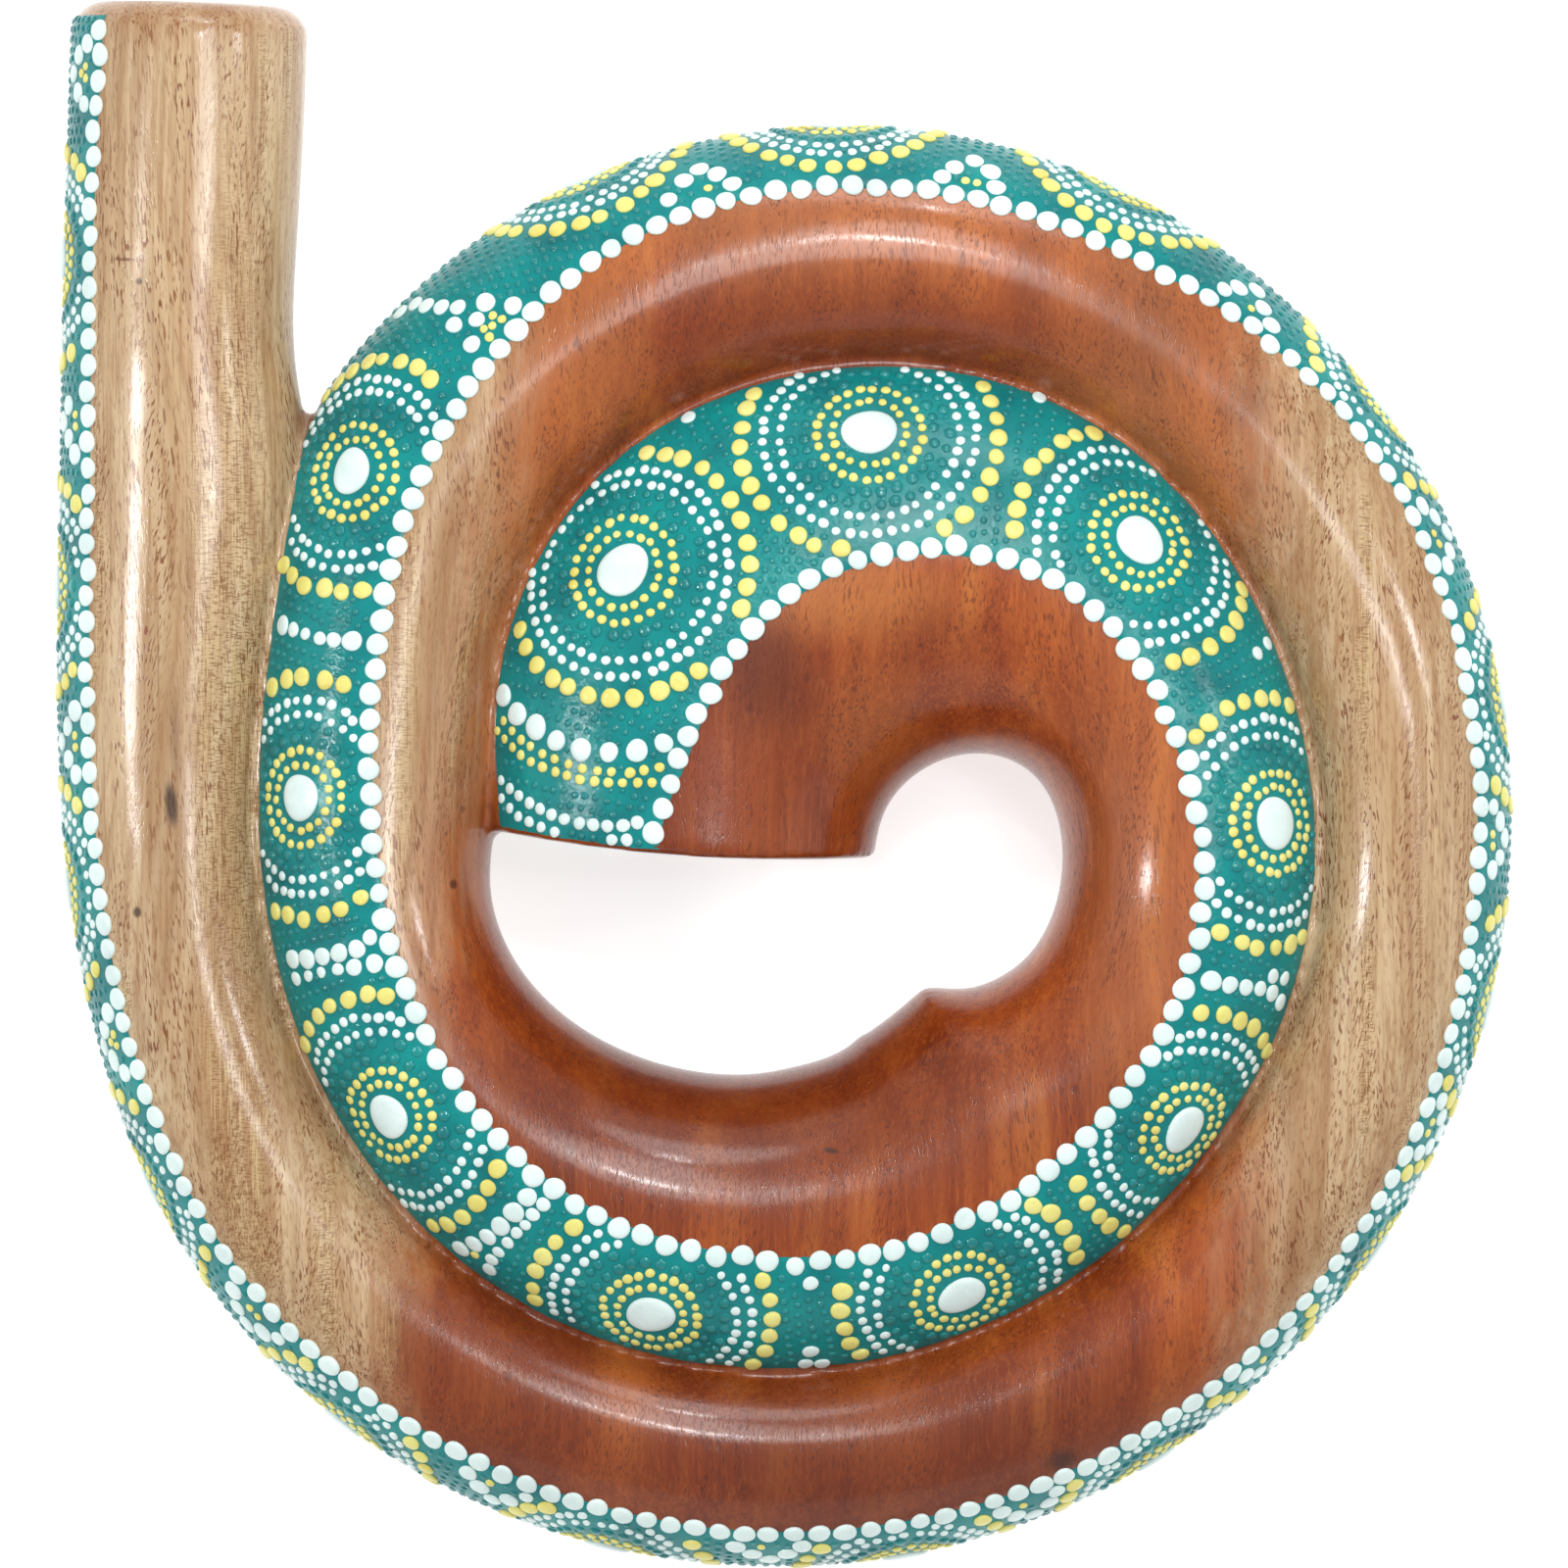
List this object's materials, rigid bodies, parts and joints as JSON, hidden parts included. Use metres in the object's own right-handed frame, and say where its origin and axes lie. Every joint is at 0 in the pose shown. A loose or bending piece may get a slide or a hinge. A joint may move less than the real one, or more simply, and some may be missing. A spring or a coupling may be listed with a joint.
{
  "type": "spiral didgeridoo",
  "caption": "Compact didgeridoo wound flat into a spiral, carved wood with a dotted painted band, straight mouth end and a bell opening into the middle.",
  "frame": {"origin": "centre of the bounding box's underside, on the surface that the instrument lies on", "axes": "+Z out of the front, away from the surface it lies on; +Y along the stem towards the mouth end; +X to the right, away from the stem"},
  "size_m": [0.3698, 0.3986, 0.0796],
  "materials": {
    "wood": "gloss",
    "paint": "gloss",
    "dots_white": "gloss",
    "dots_yellow": "gloss"
  },
  "bodies": {
    "root": {"front_half": "wood", "back_half": "wood"}
  },
  "joints": []
}
